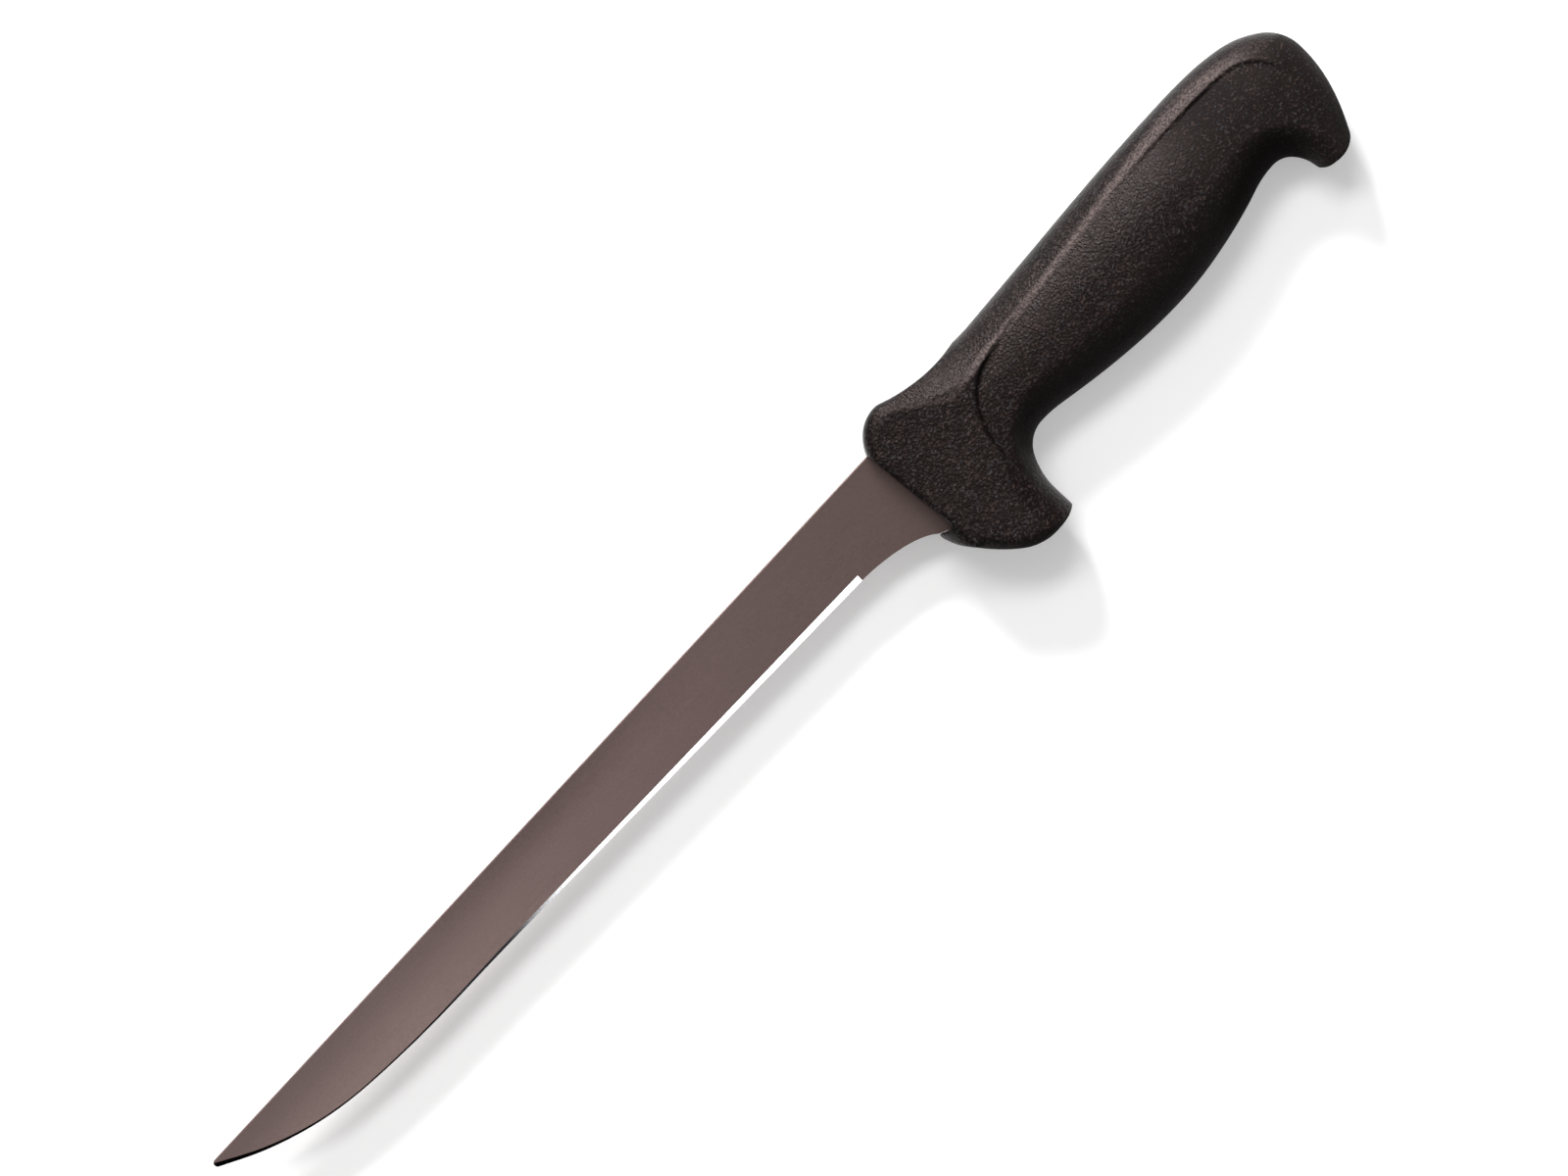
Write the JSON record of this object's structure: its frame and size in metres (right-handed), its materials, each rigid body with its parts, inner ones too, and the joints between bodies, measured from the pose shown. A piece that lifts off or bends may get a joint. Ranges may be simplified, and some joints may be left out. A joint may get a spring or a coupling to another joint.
{
  "type": "fillet knife",
  "caption": "Fillet knife with a long narrow ground blade, partial tang and a one-piece moulded handle with finger guard, palm swell and hooked butt.",
  "frame": {"origin": "under the middle of the knife's box as it lies on its side, on the surface it lies on", "axes": "+X from the blade's tip to the butt, +Y towards the spine, +Z square to the blade, up"},
  "size_m": [0.3286, 0.046, 0.0198],
  "materials": {
    "blade_steel": "satin ground",
    "handle_plastic": "fine moulded texture"
  },
  "bodies": {
    "root": {"blade": "blade_steel", "handle": "handle_plastic"}
  },
  "joints": []
}
